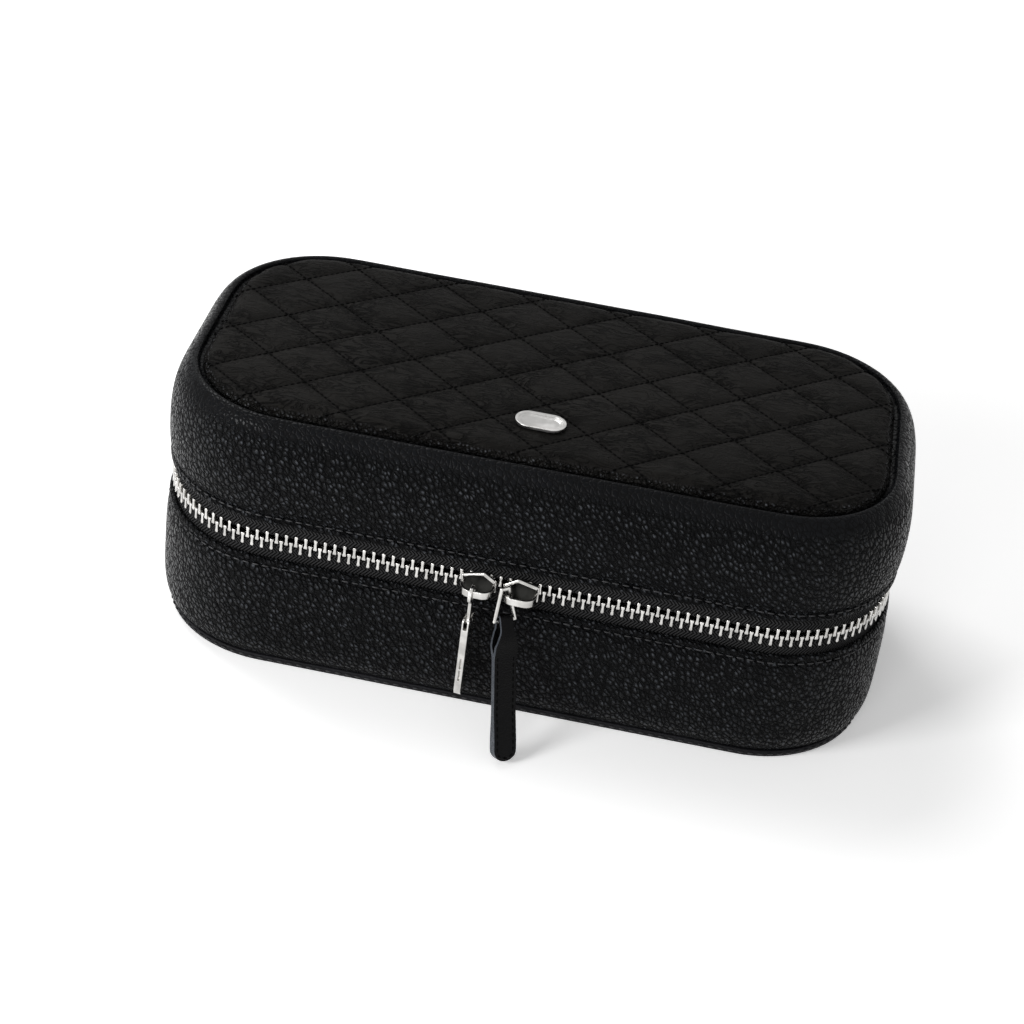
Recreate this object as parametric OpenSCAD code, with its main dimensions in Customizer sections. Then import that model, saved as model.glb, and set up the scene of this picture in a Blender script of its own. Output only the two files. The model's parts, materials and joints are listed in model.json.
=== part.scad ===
// Zipped leather jewellery case with a quilted lid, a lined tray and a leather spine hinge.
// X runs along the width, -Y is the front and +Z is up.
// The origin is the middle of the underside, where the case stands.

/* [Case] */
// Width of the case at its widest line
case_w = 208; // [190:1:260]
// Depth of the case at its widest line
case_d = 105; // [96:1:150]
// Radius of the upright corners in plan
corner_r = 36; // [28:1:42]
// Height of the base up to its rim
base_h = 36.7; // [32:0.1:50]
// Open height between the two rims, which the zip fills
zip_gap = 11.6; // [11:0.1:15]
// Height of the lid wall from its rim to the panel seam
lid_h = 30.5; // [29:0.1:45]

/* [Walls] */
// Thickness of the outer leather
leather_t = 1.4; // [1:0.1:1.8]
// Thickness of the stiffening boards
board_t = 1.6; // [1:0.1:2.2]
// Thickness of the lining
lining_t = 1; // [0.6:0.1:1.5]
// How far the turned rims stand in from the widest line
rim_inset = 1; // [0.6:0.1:1.6]
// How far the wall tucks in at its foot
foot_inset = 3; // [2:0.1:4]
// Height over which the foot rolls out to the widest line
foot_h = 9; // [6:0.5:14]
// Height over which the shoulder of the lid rolls in to the seam
shoulder_h = 17; // [12:0.5:18]
// Thickness of the bottom panel with its stitched flange
bottom_t = 2; // [1.5:0.1:3]
// How far the bottom flange stands in from the widest line
flange_inset = 2.6; // [1.8:0.1:3.5]
// Glue line between layers
glue = 0.1; // [0.05:0.01:0.15]

/* [Quilted panel] */
// Distance from the widest line to the seam round the panel
seam_inset = 7; // [6.5:0.1:9]
// Width of the groove between wall and panel
groove_w = 1.3; // [1:0.1:2]
// Height of the panel's face above the seam
panel_rise = 1.8; // [1.2:0.1:4]
// Rounding radius of the panel's edge
panel_edge_r = 1.8; // [1.3:0.1:2.4]
// Thickness of the quilted leather over its foam
quilt_t = 1.2; // [0.8:0.1:1.2]
// Length of the badge plate
badge_l = 14; // [9:0.5:20]
// Width of the badge plate
badge_w = 8; // [5:0.5:8.5]
// Thickness of the badge plate
badge_t = 0.9; // [0.6:0.1:1.5]
// Distance from the panel's front edge to the middle of the badge
badge_setback = 17.2; // [8:0.1:30]

/* [Zip chain] */
// Spacing of the teeth along one tape
tooth_pitch = 2.7; // [2.5:0.1:3.2]
// Width of one tooth along its tape
tooth_w = 0.95; // [0.8:0.05:1]
// Depth of one tooth from front to back
tooth_depth = 2.4; // [2:0.1:2.5]
// How far a tooth reaches past the middle of the zip
tooth_reach = 0.9; // [0.6:0.1:1.1]
// Distance from the middle of the zip to the feet of the teeth
tooth_foot = 2.9; // [2.6:0.1:3.4]
// Thickness of the zip tape
tape_t = 0.6; // [0.4:0.1:0.8]
// Height of tape sewn in behind each rim
tape_seat = 4; // [3:0.5:6]
// Turn of the rear corners after which the teeth end
zip_end_angle = 55; // [30:1:60]

/* [Spine hinge] */
// Thickness of the leather spine
spine_t = 1; // [0.8:0.1:1.2]
// Opening angle of the lid
lid_open = 110; // [90:1:120]

/* [Sliders] */
// Place of the left slider from the middle
slider_left_x = -8.4; // [-30:0.1:-7]
// Place of the right slider from the middle
slider_right_x = 3.3; // [3.2:0.1:30]
// Length of a slider from tail to nose
slider_l = 9.8; // [9:0.1:10]
// Height of a slider at its shoulders
slider_h = 8; // [7.4:0.1:9]
// Thickness of a slider's plates
plate_t = 1.2; // [1:0.05:1.4]
// Running clearance between teeth and slider plates
slider_gap = 0.25; // [0.2:0.05:0.3]
// Length of the bail over a slider
bail_l = 9.2; // [8.6:0.1:9.8]
// How far the bail stands out from its plate
bail_out = 5.2; // [5:0.1:6]
// Outer radius of the bail's shoulders
bail_r = 3.2; // [3:0.1:3.4]
// Height of the bail's band
bail_h = 2.2; // [1.8:0.1:2.3]
// Thickness of the bail's band
bail_t = 0.8; // [0.6:0.05:0.9]

/* [Metal pull] */
// Turn of the metal pull about the upright
bar_yaw = -8; // [-10:1:10]
// Thickness of the link
link_t = 0.9; // [0.7:0.05:1]
// Distance from the bail to the pin of the bar
link_l = 8.5; // [7.5:0.1:11]
// Length of the bar
bar_l = 26.4; // [18:0.1:30]
// Depth of the bar from front to back
bar_w = 6; // [4:0.1:6.5]
// Thickness of the bar
bar_t = 1.9; // [1.8:0.05:2.6]
// Diameter of the pin through the bar
pin_d = 1.1; // [0.8:0.1:1.2]

/* [Leather pull] */
// Turn of the leather pull about the upright
tab_yaw = 35; // [30:1:40]
// Lean of the ring away from the case
ring_lean = 12; // [0:1:20]
// Distance from the bail to the foot of the ring
ring_drop = 6.6; // [6:0.1:8]
// Diameter of the ring's wire
wire_d = 1.1; // [0.9:0.1:1.2]
// Length of the leather tab below the ring
tab_l = 39; // [30:0.5:60]
// Width of the leather tab
tab_w = 6.6; // [5.5:0.1:9]
// Thickness of one ply of the tab
ply_t = 0.95; // [0.8:0.05:1]
// Sideways lean of the tab
tab_skew = 6; // [0:1:8]

/* [Inside] */
// Distance from the middle to each cross divider
divider_x = 36; // [28:1:45]
// Height of the dividers above the floor
divider_h = 25; // [12:1:25]
// Thickness of the padded dividers
divider_t = 3; // [2:0.5:5]
// Number of ring rolls
roll_count = 5; // [4:1:6]
// Gap between ring rolls
roll_gap = 0.8; // [0.4:0.1:2]
// Length of the mirror
mirror_l = 150; // [90:1:156]
// Width of the mirror
mirror_w = 60; // [40:1:64]
// Thickness of the mirror
mirror_t = 2; // [1.5:0.1:3]
// Width of the padded border round the mirror
border_w = 9; // [6:0.5:9]

/* [Hidden] */
$fn = 64;

leather_col = "#1d1e20";
smooth_col = "#151517";
board_col = "#8a7a63";
lining_col = "#3a3438";
metal_col = "#c9c8c4";
tape_col = "#141414";

// Heights of the main lines
zip_z = base_h + zip_gap / 2;
lid_z = base_h + zip_gap;
seam_z = lid_z + lid_h;
panel_z = seam_z + panel_rise;

// Centres of the corner arcs
cx = case_w / 2 - corner_r;
cy = case_d / 2 - corner_r;

// Layers, each as its distance in from the widest line
tape_inset = rim_inset + leather_t + glue;
board_inset = tape_inset + max(tape_t, spine_t) + glue;
lining_inset = board_inset + board_t + glue;
inner_inset = lining_inset + lining_t;
inner_w = case_w - 2 * inner_inset;
inner_d = case_d - 2 * inner_inset;
chain_inset = tape_inset + tape_t / 2;

// Heights of the layers
rim_ease_h = 10;
belly_steps = 3;
roll_steps = 6;
bottom_board_z = bottom_t + leather_t + 2 * glue;
floor_z = bottom_board_z + board_t + glue + lining_t;
board_edge = 1;
lining_edge = 0.5;
top_board_drop = 0.6;
top_board_z = seam_z - leather_t - top_board_drop;
top_board_inset = seam_inset - 1;
ceiling_z = top_board_z - board_t - glue - lining_t;
wall_board_drop = 2.2;

// Wall curves, from the bottom up, as [distance in, height]
base_curve = concat(
  [for (i = [0:roll_steps]) let (a = 90 * i / roll_steps)
    [foot_inset * (1 - sin(a)), bottom_t + glue + foot_h * (1 - cos(a))]],
  [for (i = [1:belly_steps]) let (a = 90 * i / belly_steps, z0 = bottom_t + glue + foot_h)
    [rim_inset * (1 - cos(a)), z0 + (base_h - z0) * i / belly_steps]]
);
lid_curve = concat(
  [for (i = [0:belly_steps - 1]) let (a = 90 * i / belly_steps)
    [rim_inset * (1 - sin(a)), lid_z + rim_ease_h * i / belly_steps]],
  [for (i = [0:roll_steps]) let (a = 90 * i / roll_steps)
    [seam_inset * (1 - cos(a)), seam_z - shoulder_h * (1 - sin(a))]]
);

function unit(v) = v / norm(v);
function segment_normal(p, i) = let (d = p[i + 1] - p[i]) unit([d[1], -d[0]]);
function point_normal(p, i) =
  i == 0 ? segment_normal(p, 0) :
  i == len(p) - 1 ? segment_normal(p, i - 1) :
  let (m = unit(segment_normal(p, i - 1) + segment_normal(p, i))) m / (m * segment_normal(p, i));
// A curve given as distances in, as points measured out from the corner's centre
function outward(curve) = [for (c = curve) [corner_r - c[0], c[1]]];
// A sheet of thickness t that lies inside a curve
function sheet(curve, t) = let (p = outward(curve))
  concat(p, [for (i = [len(p) - 1:-1:0]) p[i] - t * point_normal(p, i)]);
// An upright strip between two distances in
function strip(inset, t, z0, z1) =
  [[corner_r - inset - t, z0], [corner_r - inset, z0], [corner_r - inset, z1], [corner_r - inset - t, z1]];

// Carries a wall section round the case: four corner arcs and the straights between them
module round_wall(section, back = true) {
  for (i = [0:3])
    let (c = [[1, 1], [-1, 1], [-1, -1], [1, -1]][i])
      translate([c[0] * cx, c[1] * cy, 0])
        rotate([0, 0, 90 * i])
          rotate_extrude(angle = 90) polygon(section);
  for (side = [-1, 1])
    translate([side * cx, side * cy, 0])
      rotate([90, 0, side > 0 ? 0 : 180]) linear_extrude(2 * cy) polygon(section);
  translate([cx, -cy, 0]) rotate([90, 0, -90]) linear_extrude(2 * cx) polygon(section);
  if (back)
    translate([-cx, cy, 0]) rotate([90, 0, 90]) linear_extrude(2 * cx) polygon(section);
}

// Outline of the case at a distance in from its widest line
module outline(inset) {
  r = corner_r - inset;
  square([2 * cx, case_d - 2 * inset], center = true);
  square([case_w - 2 * inset, 2 * cy], center = true);
  for (x = [-1, 1], y = [-1, 1])
    translate([x * cx, y * cy]) circle(r);
}

module slab(inset, z0, z1) {
  translate([0, 0, z0]) linear_extrude(z1 - z0) outline(inset);
}

module rounded_plate(l, w, r, z0, z1) {
  translate([0, 0, z0]) linear_extrude(z1 - z0) {
    square([l - 2 * r, w], center = true);
    square([l, w - 2 * r], center = true);
    for (x = [-1, 1], y = [-1, 1])
      translate([x * (l / 2 - r), y * (w / 2 - r)]) circle(r);
  }
}

// ---- Base ----

module base_wall() {
  color(leather_col) round_wall(sheet(base_curve, leather_t));
}

module base_bottom_panel() {
  color(smooth_col) slab(flange_inset, 0, bottom_t);
}

module base_wall_board() {
  foot_z = floor_z + board_edge;
  color(board_col) round_wall(strip(board_inset, board_t, foot_z, base_h - board_edge));
}

module base_bottom_board() {
  color(board_col) slab(board_inset, bottom_board_z, bottom_board_z + board_t);
}

module base_lining() {
  color(lining_col) difference() {
    slab(lining_inset, floor_z - lining_t, base_h - lining_edge);
    slab(inner_inset, floor_z, base_h);
  }
}

// ---- Fittings of the tray ----

module cross_divider(x) {
  translate([x - divider_t / 2, -inner_d / 2 + glue, floor_z + glue])
    cube([divider_t, inner_d - 2 * glue, divider_h]);
}

module divider_left() {
  color(lining_col) cross_divider(-divider_x);
}

module divider_right() {
  color(lining_col) cross_divider(divider_x);
}

module divider_short() {
  x0 = divider_x + divider_t / 2 + glue;
  color(lining_col)
    translate([x0, -divider_t / 2, floor_z + glue])
      cube([inner_w / 2 - glue - x0, divider_t, divider_h]);
}

roll_pitch = inner_d / roll_count;
roll_d = roll_pitch - roll_gap;
roll_flat = 1.6;
module ring_rolls() {
  l = 2 * divider_x - divider_t - 2 * glue;
  color(lining_col)
    for (i = [0:roll_count - 1])
      translate([0, (i - (roll_count - 1) / 2) * roll_pitch, floor_z + glue])
        difference() {
          translate([-l / 2, 0, roll_d / 2 - roll_flat])
            rotate([0, 90, 0]) cylinder(d = roll_d, h = l);
          translate([-l, -roll_d / 2, -roll_d]) cube([2 * l, roll_d, roll_d]);
        }
}

// ---- Zip chain ----

chain_r = corner_r - chain_inset;
slot_top = 1.5;

// Place and heading of a point on the zip, s along it from the middle of the front
function zip_place(s, side) =
  let (front = cx, corner = PI / 2 * chain_r, flank = 2 * cy,
       turn = s < front ? 0 :
              s < front + corner ? (s - front) / chain_r * 180 / PI :
              s < front + corner + flank ? 90 :
              90 + (s - front - corner - flank) / chain_r * 180 / PI,
       along = min(s, front),
       up = max(0, min(s - front - corner, flank)))
  [[side * (along - front + cx + chain_r * sin(turn)),
    -cy + up - chain_r * cos(turn)], side * turn];
zip_half_l = cx + (PI / 2 + zip_end_angle * PI / 180) * chain_r + 2 * cy;

module on_zip(s, side) {
  place = zip_place(s, side);
  translate([place[0][0], place[0][1], zip_z]) rotate([0, 0, place[1]]) children();
}

// A clamp that grips the tape below it and stands up to height top
module tape_clamp(w, top) {
  grip = tape_t / 2 + glue / 2;
  half = tooth_depth / 2;
  translate([-w / 2, 0, 0]) rotate([90, 0, 90]) linear_extrude(w)
    polygon([[-half, -tooth_foot], [-grip, -tooth_foot], [-grip, slot_top - tooth_foot],
             [grip, slot_top - tooth_foot], [grip, -tooth_foot], [half, -tooth_foot],
             [half, top], [-half, top]]);
}

// Teeth to both sides of the middle, all shifted along by a share of their spacing
module tooth_row(shift, side_up) {
  last = floor(zip_half_l / tooth_pitch - shift);
  color(metal_col)
    for (side = [-1, 1], i = [(side > 0 || shift > 0) ? 0 : 1:last])
      on_zip((i + shift) * tooth_pitch, side)
        mirror([0, 0, side_up ? 1 : 0]) tape_clamp(tooth_w, tooth_reach);
}

module stop_pair(side_up) {
  color(metal_col)
    for (side = [-1, 1])
      on_zip(zip_half_l + tooth_pitch, side)
        mirror([0, 0, side_up ? 1 : 0]) tape_clamp(2 * tooth_w, -glue);
}

tape_top = zip_z - tooth_foot + slot_top - glue / 2;

module lower_tape() {
  round_wall(strip(tape_inset, tape_t, base_h - tape_seat, tape_top), back = false);
}

module zip_tape_lower() {
  color(tape_col) lower_tape();
}

module zip_teeth_lower() {
  tooth_row(0.5, false);
}

module zip_stops_lower() {
  stop_pair(false);
}

module zip_tape_upper() {
  color(tape_col) translate([0, 0, 2 * zip_z]) mirror([0, 0, 1]) lower_tape();
}

module zip_teeth_upper() {
  tooth_row(0, true);
}

module zip_stops_upper() {
  stop_pair(true);
}

// ---- Spine hinge ----

// The fold is left open just enough for the two halves to turn to the lid's limit
fold_gap = spine_t / 2 * tan(lid_open / 2) + 0.15;
spine_end = 0.3;
module spine_half(z0, z1) {
  color(leather_col)
    translate([-cx + spine_end, case_d / 2 - tape_inset - spine_t, z0])
      cube([2 * (cx - spine_end), spine_t, z1 - z0]);
}

module spine_lower() {
  spine_half(base_h - tape_seat, zip_z - fold_gap);
}

module spine_upper() {
  spine_half(zip_z + fold_gap, lid_z + tape_seat);
}

// ---- Lid ----

module lid_wall() {
  color(leather_col) round_wall(sheet(lid_curve, leather_t));
}

module lid_top_board() {
  color(board_col) slab(top_board_inset, top_board_z - board_t, top_board_z);
}

module lid_wall_board() {
  color(board_col)
    round_wall(strip(board_inset, board_t, lid_z + board_edge, top_board_z - board_t - wall_board_drop));
}

module lid_lining() {
  color(lining_col) difference() {
    slab(lining_inset, lid_z + lining_edge, ceiling_z + lining_t);
    slab(inner_inset, lid_z, ceiling_z);
  }
}

// A pad with a rounded upper edge, as far in from the widest line as the inset says
module pad(inset, z0, z1, edge_r) {
  section = concat(
    [[0, z0], [corner_r - inset, z0]],
    [for (i = [0:roll_steps]) let (a = 90 * i / roll_steps)
      [corner_r - inset - edge_r * (1 - cos(a)), z1 - edge_r * (1 - sin(a))]],
    [[0, z1]]
  );
  round_wall(section);
  translate([-cx, -cy, z0]) cube([2 * cx, 2 * cy, z1 - z0]);
}

panel_inset = seam_inset + groove_w;
pad_z = top_board_z + glue;
foam_edge_r = panel_edge_r - quilt_t;
module quilted_cover() {
  color(smooth_col) difference() {
    pad(panel_inset, pad_z, panel_z, panel_edge_r);
    slab(panel_inset + quilt_t, pad_z - 1, panel_z - quilt_t);
  }
}

module quilt_foam() {
  color("#cfc7b4") slab(panel_inset + quilt_t + glue, pad_z, panel_z - quilt_t - glue);
}

badge_y = -(case_d / 2 - panel_inset) + badge_setback;
badge_rim = 0.9;
badge_sink = 0.3;
module badge() {
  z0 = panel_z + glue;
  color(metal_col) translate([0, badge_y, 0]) difference() {
    rounded_plate(badge_l, badge_w, badge_w / 2 - 0.05, z0, z0 + badge_t);
    rounded_plate(badge_l - 2 * badge_rim, badge_w - 2 * badge_rim, badge_w / 2 - badge_rim - 0.05,
                  z0 + badge_t - badge_sink, z0 + badge_t + 1);
  }
}

border_lip = 2;
border_t = mirror_t + 1;
mirror_r = 8;
module mirror_glass() {
  color("#b9c4c9")
    rounded_plate(mirror_l, mirror_w, mirror_r, ceiling_z - glue - mirror_t, ceiling_z - glue);
}

module mirror_border() {
  opening = 2 * border_lip;
  z0 = ceiling_z - glue - border_t;
  color(smooth_col) difference() {
    rounded_plate(mirror_l + 2 * border_w, mirror_w + 2 * border_w, mirror_r + border_w,
                  z0, ceiling_z - glue);
    rounded_plate(mirror_l - opening, mirror_w - opening, mirror_r - border_lip, z0 - 1, ceiling_z);
    rounded_plate(mirror_l + 2 * glue, mirror_w + 2 * glue, mirror_r + glue,
                  ceiling_z - 2 * glue - mirror_t, ceiling_z);
  }
}

// ---- Sliders, each drawn at the middle of its outer plate's face, nose towards +X ----

plate_inset = chain_inset - tooth_depth / 2 - slider_gap - plate_t;
plate_y = -(case_d / 2 - plate_inset);
tail_h = 4.8;
nose_h = 3;
shoulder_x = 1.2;
back_plate_t = 0.9;
back_plate_shrink = 0.6;
module on_slider(x, facing) {
  translate([x, plate_y, zip_z]) mirror([facing < 0 ? 1 : 0, 0, 0]) children();
}

module slider_shape(shrink) {
  l = slider_l / 2 - shrink;
  polygon([[-l, -tail_h / 2 + shrink], [shoulder_x, -slider_h / 2 + shrink], [l, -nose_h / 2],
           [l, nose_h / 2], [shoulder_x, slider_h / 2 - shrink], [-l, tail_h / 2 - shrink]]);
}

module slider_plate() {
  color(metal_col) translate([0, plate_t, 0]) rotate([90, 0, 0]) linear_extrude(plate_t) slider_shape(0);
}

module slider_back_plate() {
  behind = plate_t + tooth_depth + 2 * slider_gap + back_plate_t;
  color(metal_col)
    translate([0, behind, 0]) rotate([90, 0, 0]) linear_extrude(back_plate_t)
      slider_shape(back_plate_shrink);
}

module bail_arch(l, out, r) {
  translate([-l / 2, -(out - r)]) square([l, out - r]);
  translate([-l / 2 + r, -out]) square([l - 2 * r, out]);
  for (side = [-1, 1])
    translate([side * (l / 2 - r), -(out - r)]) circle(r);
}

module bail() {
  color(metal_col)
    translate([0, -glue / 2, -bail_h / 2]) linear_extrude(bail_h) intersection() {
      difference() {
        bail_arch(bail_l, bail_out, bail_r);
        bail_arch(bail_l - 2 * bail_t, bail_out - bail_t, bail_r - bail_t);
      }
      translate([-bail_l, -2 * bail_out]) square([2 * bail_l, 2 * bail_out]);
    }
}

module slider_left_plate() {
  on_slider(slider_left_x, 1) slider_plate();
}

module slider_left_back_plate() {
  on_slider(slider_left_x, 1) slider_back_plate();
}

module bail_left() {
  on_slider(slider_left_x, 1) bail();
}

module slider_right_plate() {
  on_slider(slider_right_x, -1) slider_plate();
}

module slider_right_back_plate() {
  on_slider(slider_right_x, -1) slider_back_plate();
}

module bail_right() {
  on_slider(slider_right_x, -1) bail();
}

// ---- Metal pull: a link on the left bail and a flat bar pinned to it ----

eye_play = 0.4;
eye_r = norm([bail_h, bail_t]) / 2 + eye_play;
eye_wall = 1;
link_w = 1.8;
link_end_r = pin_d / 2 + 0.9;
pin_fit = 0.02;
pin_play = 0.06;
link_shift = -0.9;
link_pivot = [slider_left_x + link_shift, plate_y - glue / 2 - bail_out + bail_t / 2, zip_z];
module at_link() {
  translate(link_pivot) rotate([0, 0, bar_yaw]) children();
}

// Turns a flat shape so that it stands on edge, seen from the front
module on_edge(t) {
  rotate([90, 0, 90]) linear_extrude(t, center = true) children();
}

module link_left() {
  color(metal_col) at_link() on_edge(link_t) difference() {
    union() {
      circle(eye_r + eye_wall);
      translate([0, -link_l]) circle(link_end_r);
      translate([-link_w / 2, -link_l]) square([link_w, link_l]);
    }
    circle(eye_r);
    translate([0, -link_l]) circle(pin_d / 2 + pin_play);
  }
}

bar_top = link_end_r;
bar_foot_r = 2.6;
bar_head_r = 1.2;
fork_gap = 0.1;
slit_w = 0.5;
slit_l = 3.6;
slit_step = 4;
slit_deep = 1;
slit_top = 13;
module bar_outline() {
  foot_r = min(bar_foot_r, bar_w / 2 - 0.1);
  low = bar_top - bar_l;
  translate([-bar_w / 2, low + foot_r]) square([bar_w, bar_l - foot_r - bar_head_r]);
  translate([-bar_w / 2 + foot_r, low]) square([bar_w - 2 * foot_r, foot_r]);
  translate([-bar_w / 2 + bar_head_r, bar_top - bar_head_r])
    square([bar_w - 2 * bar_head_r, bar_head_r]);
  for (side = [-1, 1]) {
    translate([side * (bar_w / 2 - foot_r), low + foot_r]) circle(foot_r);
    translate([side * (bar_w / 2 - bar_head_r), bar_top - bar_head_r]) circle(bar_head_r);
  }
}

module pull_bar() {
  fork_deep = link_end_r + 0.4;
  color(metal_col) at_link() translate([0, 0, -link_l]) difference() {
    on_edge(bar_t) bar_outline();
    translate([-link_t / 2 - fork_gap, -bar_w, -fork_deep])
      cube([link_t + 2 * fork_gap, 2 * bar_w, fork_deep + 2 * bar_top]);
    rotate([0, 90, 0]) cylinder(r = pin_d / 2 + pin_fit, h = 2 * bar_t, center = true);
    for (i = [0:1])
      translate([-slit_w / 2, -bar_w / 2 - 1, bar_top - slit_top - i * slit_step - slit_l])
        cube([slit_w, 1 + slit_deep, slit_l]);
  }
}

module pull_pin() {
  color(metal_col) at_link() translate([0, 0, -link_l])
    rotate([0, 90, 0]) cylinder(d = pin_d, h = bar_t - 2 * pin_fit, center = true);
}

// ---- Leather pull: a wire ring on the right bail's shoulder and a stitched tab ----

ring_swing = 30;
ring_play = 0.28;
ring_top = ((bail_h + wire_d) / 2 + ring_play) / cos(ring_lean + ring_swing);
ring_apex = 1.1;
ring_w = 7.2;
ring_foot = (ring_w - wire_d) / 2;
corner_bead = 0.08;
shoulder_mid = bail_r - bail_t / 2;
ring_pivot = [
  slider_right_x - bail_l / 2 + bail_r - shoulder_mid * cos(tab_yaw),
  plate_y - glue / 2 - bail_out + bail_r - shoulder_mid * sin(tab_yaw),
  zip_z
];
module at_ring() {
  translate(ring_pivot) rotate([0, 0, tab_yaw]) rotate([-ring_lean, 0, 0]) children();
}

module wire(a, b) {
  d = b - a;
  translate([a[0], 0, a[1]]) rotate([0, atan2(d[0], d[1]), 0]) cylinder(d = wire_d, h = norm(d));
}

module ring_right() {
  corners = [[-ring_apex, ring_top], [ring_apex, ring_top], [ring_foot, -ring_drop],
             [-ring_foot, -ring_drop]];
  color(metal_col) at_ring()
    for (i = [0:3]) {
      wire(corners[i], corners[(i + 1) % 4]);
      translate([corners[i][0], 0, corners[i][1]]) sphere(d = wire_d + corner_bead);
    }
}

// The tab hangs from the foot of the ring and leans out until its tip meets the table
tab_pivot_z = zip_z - ring_drop * cos(ring_lean);
tip_clearance = 1.0;
tab_lean = acos(min(1, (tab_pivot_z - tip_clearance) / (tab_l * cos(tab_skew))));
loop_r = wire_d / 2 + 0.15;
loop_l = 10.5;
loop_half = 2.6;
loop_mid = 3.6;
tab_foot_t = 3;
tab_foot_l = 6;
arc_steps = 6;
module tab_side() {
  head_r = loop_r + ply_t;
  edge = [
    for (i = [0:arc_steps]) let (a = 90 * i / arc_steps) [head_r * sin(a), head_r * cos(a)]
  ];
  down = [
    [loop_half, -loop_mid], [loop_half - 0.3, -loop_mid - 2.5], [ply_t, -loop_l],
    [ply_t, -tab_l * 0.66], [tab_foot_t / 2, -tab_l + tab_foot_l], [tab_foot_t / 2, -tab_l + 1.5],
    [tab_foot_t / 2 - 0.5, -tab_l]
  ];
  half = concat(edge, down);
  hole = concat(
    [for (i = [0:arc_steps]) let (a = 90 * i / arc_steps) [loop_r * sin(a), loop_r * cos(a)]],
    [[loop_half - ply_t, -loop_mid], [loop_half - ply_t - 0.3, -loop_mid - 2.3], [0.1, -loop_l + 1.5]]
  );
  difference() {
    polygon(concat(half, [for (i = [len(half) - 1:-1:1]) [-half[i][0], half[i][1]]]));
    polygon(concat(hole, [for (i = [len(hole) - 1:-1:1]) [-hole[i][0], hole[i][1]]]));
  }
}

module tab_front() {
  rise = ring_drop + ring_top;
  side_lean = (ring_foot - ring_apex) / rise;
  neck = ring_w / 2 - wire_d - side_lean * (loop_r + ply_t) - 0.25;
  half_w = tab_w / 2;
  round_z = -tab_l + half_w;
  round_steps = 12;
  foot = [
    for (i = [0:round_steps])
      let (a = 180 * i / round_steps) [half_w * cos(a), round_z - half_w * sin(a)]
  ];
  polygon(concat(
    [[-neck, -loop_mid + 1], [-neck, 2 * loop_r + ply_t], [neck, 2 * loop_r + ply_t],
     [neck, -loop_mid + 1], [half_w, -loop_mid - 3.5]],
    foot,
    [[-half_w, -loop_mid - 3.5]]
  ));
}

module pull_tab() {
  color(smooth_col)
    translate(ring_pivot) rotate([0, 0, tab_yaw])
      translate([0, -ring_drop * sin(ring_lean), -ring_drop * cos(ring_lean)])
        rotate([-tab_lean, 0, 0]) rotate([0, tab_skew, 0]) intersection() {
          rotate([90, 0, 90]) linear_extrude(2 * tab_w, center = true) tab_side();
          rotate([90, 0, 0]) linear_extrude(4 * tab_foot_t, center = true) tab_front();
        }
}

base_wall();
base_bottom_panel();
base_wall_board();
base_bottom_board();
base_lining();
divider_left();
divider_right();
divider_short();
ring_rolls();
zip_tape_lower();
zip_teeth_lower();
zip_stops_lower();
spine_lower();
lid_wall();
quilted_cover();
quilt_foam();
lid_top_board();
lid_wall_board();
lid_lining();
mirror_glass();
mirror_border();
badge();
zip_tape_upper();
zip_teeth_upper();
zip_stops_upper();
spine_upper();
slider_left_plate();
slider_left_back_plate();
bail_left();
slider_right_plate();
slider_right_back_plate();
bail_right();
link_left();
pull_bar();
pull_pin();
ring_right();
pull_tab();
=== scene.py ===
"""Looks of the zipped leather jewellery case: leather, quilting, zip, pulls and lining."""
import json
import math

import bmesh
import bpy
from mathutils import Matrix, Vector, noise

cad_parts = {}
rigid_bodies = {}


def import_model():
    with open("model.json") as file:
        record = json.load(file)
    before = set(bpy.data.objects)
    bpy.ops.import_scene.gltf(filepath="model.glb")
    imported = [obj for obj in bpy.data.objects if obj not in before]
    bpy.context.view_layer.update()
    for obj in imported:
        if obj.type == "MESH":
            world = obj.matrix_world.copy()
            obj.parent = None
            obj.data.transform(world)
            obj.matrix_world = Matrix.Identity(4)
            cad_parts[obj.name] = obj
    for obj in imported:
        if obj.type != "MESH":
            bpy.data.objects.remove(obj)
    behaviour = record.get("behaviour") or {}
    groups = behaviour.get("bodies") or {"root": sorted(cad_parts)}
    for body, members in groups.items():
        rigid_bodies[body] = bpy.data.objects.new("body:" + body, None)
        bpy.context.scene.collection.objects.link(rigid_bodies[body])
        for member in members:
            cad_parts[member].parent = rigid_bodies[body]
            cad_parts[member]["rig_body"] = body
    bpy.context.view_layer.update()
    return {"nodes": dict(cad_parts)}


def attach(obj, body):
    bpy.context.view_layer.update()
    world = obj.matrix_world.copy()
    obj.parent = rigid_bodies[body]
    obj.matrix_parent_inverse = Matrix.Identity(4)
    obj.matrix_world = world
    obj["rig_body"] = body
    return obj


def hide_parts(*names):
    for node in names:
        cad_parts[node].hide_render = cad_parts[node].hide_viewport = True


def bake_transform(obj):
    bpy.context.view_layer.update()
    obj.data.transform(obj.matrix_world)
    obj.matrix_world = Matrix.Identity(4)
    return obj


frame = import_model()

# All sizes below are in mm. RUN_X and RUN_Y are half of the straight stretches of the outline
mm = 0.001
HALF_W, HALF_D, CORNER = 104.0, 52.5, 36.0
RUN_X, RUN_Y = HALF_W - CORNER, HALF_D - CORNER

# The zip runs on round the rear corners by ZIP_END_TURN degrees
ZIP_Z, TOOTH_PITCH, ZIP_END_TURN = 42.5, 2.7, 55.0

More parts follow.
